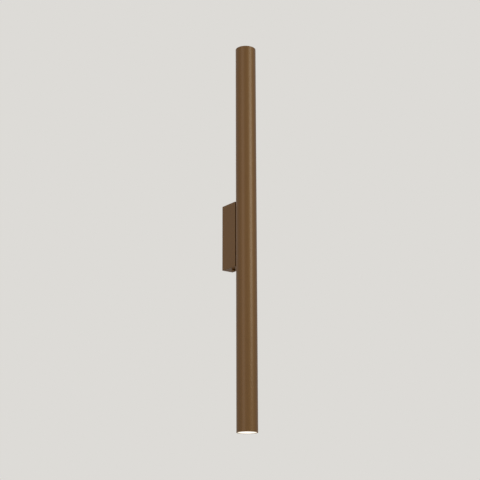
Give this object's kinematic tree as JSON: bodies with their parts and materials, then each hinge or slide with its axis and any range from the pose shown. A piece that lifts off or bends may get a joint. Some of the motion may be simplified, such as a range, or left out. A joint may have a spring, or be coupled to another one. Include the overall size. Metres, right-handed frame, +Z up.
{
  "type": "tube wall light",
  "caption": "Upright round tube wall light, lit up and down through flush opal diffusers, carried by a slim box that hooks over a notched wall bracket.",
  "frame": {"origin": "centre of the wall bracket's back face, which lies on the wall, midway between its two slots", "axes": "+Z up along the tube, +Y into the wall, +X to the right of someone who faces the wall"},
  "size_m": [0.04, 0.0819, 0.765],
  "materials": {
    "bronze_aluminium": "satin bronze anodised",
    "zinc_steel": "bright zinc plated",
    "bronze_screw_steel": "satin bronze, as the body",
    "black_rubber": "matt",
    "plain_aluminium": "plain, extruded and turned",
    "black_nylon": "matt, moulded",
    "white_plastic": "matt, moulded",
    "brass": "plain",
    "tinned_copper": "tinned",
    "green_yellow_insulation": "smooth, extruded",
    "brown_insulation": "smooth, extruded",
    "blue_insulation": "smooth, extruded",
    "white_sleeve": "woven glass sleeve, silicone coated",
    "thermal_pad": "matt, soft",
    "white_board": "white solder mask on aluminium",
    "led_phosphor": "yellow phosphor",
    "opal_acrylic": "opal, satin, lit from behind"
  },
  "bodies": {
    "wall_plate": {"wall_bracket": "zinc_steel", "cable_grommet": "black_rubber"},
    "luminaire": {"block_nut": "zinc_steel", "block_stud": "zinc_steel", "carrier_screws": "zinc_steel", "clamp_nut_plates": "zinc_steel", "clamp_screws": "bronze_screw_steel", "driver_carrier": "zinc_steel", "driver_ties": "black_nylon", "earth_lead": "green_yellow_insulation", "earth_nut": "zinc_steel", "earth_ring_terminal": "tinned_copper", "earth_stud": "zinc_steel", "led_driver": "white_plastic", "live_lead": "brown_insulation", "lower_board_screws": "zinc_steel", "lower_board_socket": "white_plastic", "lower_diffuser": "opal_acrylic", "lower_heat_sink": "plain_aluminium", "lower_lead": "white_sleeve", "lower_led_board": "white_board", "lower_led_chips": "led_phosphor", "lower_module_screw": "bronze_screw_steel", "lower_thermal_pad": "thermal_pad", "neutral_lead": "blue_insulation", "saddle_screws": "zinc_steel", "terminal_block": "white_plastic", "terminal_screws": "zinc_steel", "terminal_sleeves": "brass", "tube": "bronze_aluminium", "tube_saddle": "plain_aluminium", "upper_board_screws": "zinc_steel", "upper_board_socket": "white_plastic", "upper_diffuser": "opal_acrylic", "upper_heat_sink": "plain_aluminium", "upper_lead": "white_sleeve", "upper_led_board": "white_board", "upper_led_chips": "led_phosphor", "upper_module_screw": "bronze_screw_steel", "upper_thermal_pad": "thermal_pad", "wall_box": "bronze_aluminium", "wire_bush": "black_nylon"}
  },
  "joints": [
    {"name": "lift_off", "type": "slide", "parent": "wall_plate", "child": "luminaire", "axis": [0, -1, 0], "range_m": [0, 0.045]}
  ]
}
